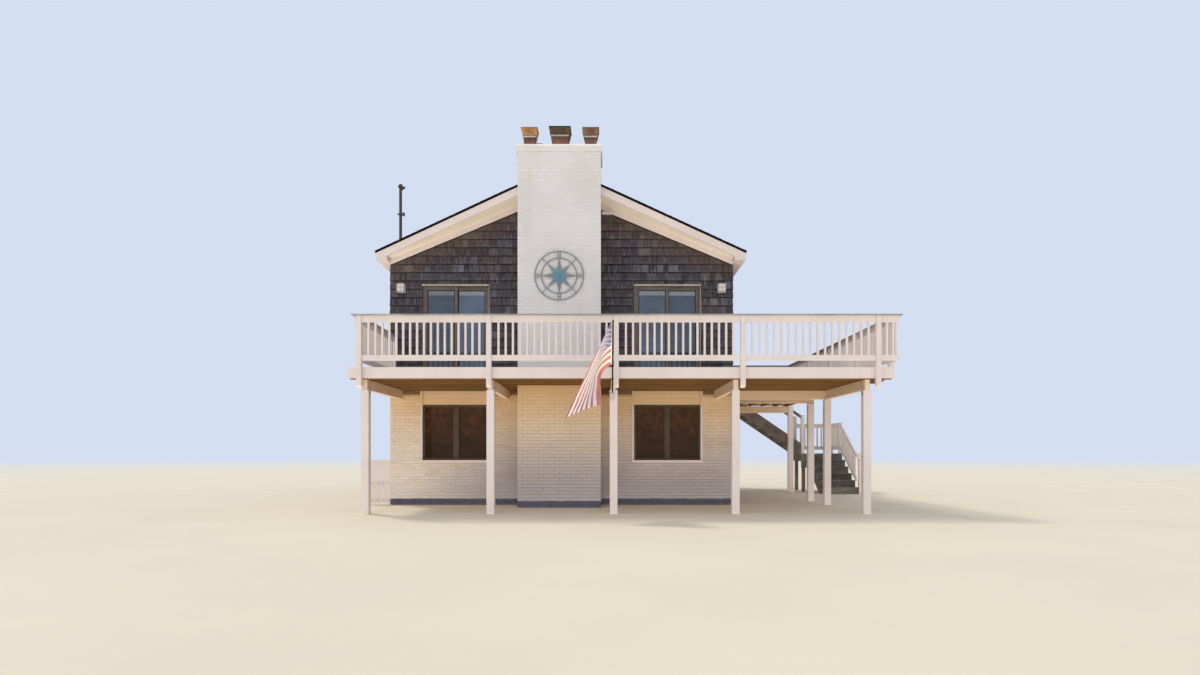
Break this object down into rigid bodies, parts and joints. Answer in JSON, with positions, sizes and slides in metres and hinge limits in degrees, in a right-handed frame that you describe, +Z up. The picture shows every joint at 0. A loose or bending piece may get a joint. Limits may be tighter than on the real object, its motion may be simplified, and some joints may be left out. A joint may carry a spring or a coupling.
{
  "type": "beach house",
  "caption": "Gabled beach house with a white brick ground storey, grey shingle walls above, a broad chimney, a raised deck with white railings and an outside stair.",
  "frame": {"origin": "centre of the house's footprint on the ground, under the ridge", "axes": "+X to the right of the front view, -Y towards the front with the chimney, +Z up"},
  "size_m": [12.0003, 13.2411, 7.797],
  "materials": {
    "painted_brick": "white painted brick, matt",
    "cedar_shingles": "charcoal stained cedar shingles, matt",
    "white_paint": "white painted timber, satin",
    "roof_boarding": "cream painted soffit boards over rafters, matt",
    "asphalt": "granulated asphalt shingles, matt",
    "concrete": "floated concrete, matt",
    "floor_boards": "boarded floor, satin",
    "bare_lumber": "bare treated timber, matt",
    "deck_timber": "weathered decking, matt",
    "stair_timber": "weathered grey timber, matt",
    "clay": "unglazed clay, matt",
    "cap_tan": "tan painted steel, weathered",
    "cap_dark": "dark painted steel, weathered",
    "cap_brown": "brown painted steel, weathered",
    "rose_metal": "weathered blue-green paint",
    "window_bronze": "dark bronze, satin",
    "slider_frame": "grey-brown, satin",
    "glass": "clear, dark room behind",
    "door_paint": "white gloss paint",
    "lamp_paint": "white, satin",
    "mast_steel": "weathered dark grey",
    "meter_grey": "grey enamel",
    "pole_wood": "weathered varnish",
    "flag_cloth": "woven nylon"
  },
  "bodies": {
    "root": {"ground_front_wall": "painted_brick", "ground_back_wall": "painted_brick", "ground_left_wall": "painted_brick", "ground_right_wall": "painted_brick", "chimney_stack": "painted_brick", "ground_floor": "concrete", "upper_front_wall": "cedar_shingles", "upper_back_wall": "cedar_shingles", "upper_left_wall": "cedar_shingles", "upper_right_wall": "cedar_shingles", "upper_floor": "floor_boards", "roof_left": "roof_boarding", "roof_right": "roof_boarding", "roof_cover_left": "asphalt", "roof_cover_right": "asphalt", "ridge_cap": "asphalt", "rake_boards": "white_paint", "eave_boards": "white_paint", "window_heads": "white_paint", "window_casings": "white_paint", "front_posts": "white_paint", "side_posts": "white_paint", "deck_beams": "white_paint", "cross_beams": "white_paint", "deck_fascia": "white_paint", "rail_posts": "white_paint", "front_railing": "white_paint", "left_railing": "white_paint", "right_railing": "white_paint", "rear_railing": "white_paint", "stair_railing": "white_paint", "picket_screen": "white_paint", "flue_liners": "clay", "flue_cap_left": "cap_tan", "flue_cap_middle": "cap_dark", "flue_cap_right": "cap_brown", "compass_rose": "rose_metal", "front_windows": "window_bronze", "side_windows_left": "window_bronze", "side_windows_right": "window_bronze", "back_windows": "window_bronze", "slider_left": "slider_frame", "slider_right": "slider_frame", "entry_door": "door_paint", "front_glass": "glass", "left_glass": "glass", "right_glass": "glass", "back_glass": "glass", "wall_lamps": "lamp_paint", "deck_joists": "bare_lumber", "deck_boards": "deck_timber", "stair_stringers": "stair_timber", "upper_steps": "stair_timber", "lower_steps": "stair_timber", "stair_landing": "stair_timber", "upper_handrails": "stair_timber", "service_mast": "mast_steel", "meter_box": "meter_grey", "flagpole": "pole_wood", "flag": "flag_cloth"}
  },
  "joints": []
}
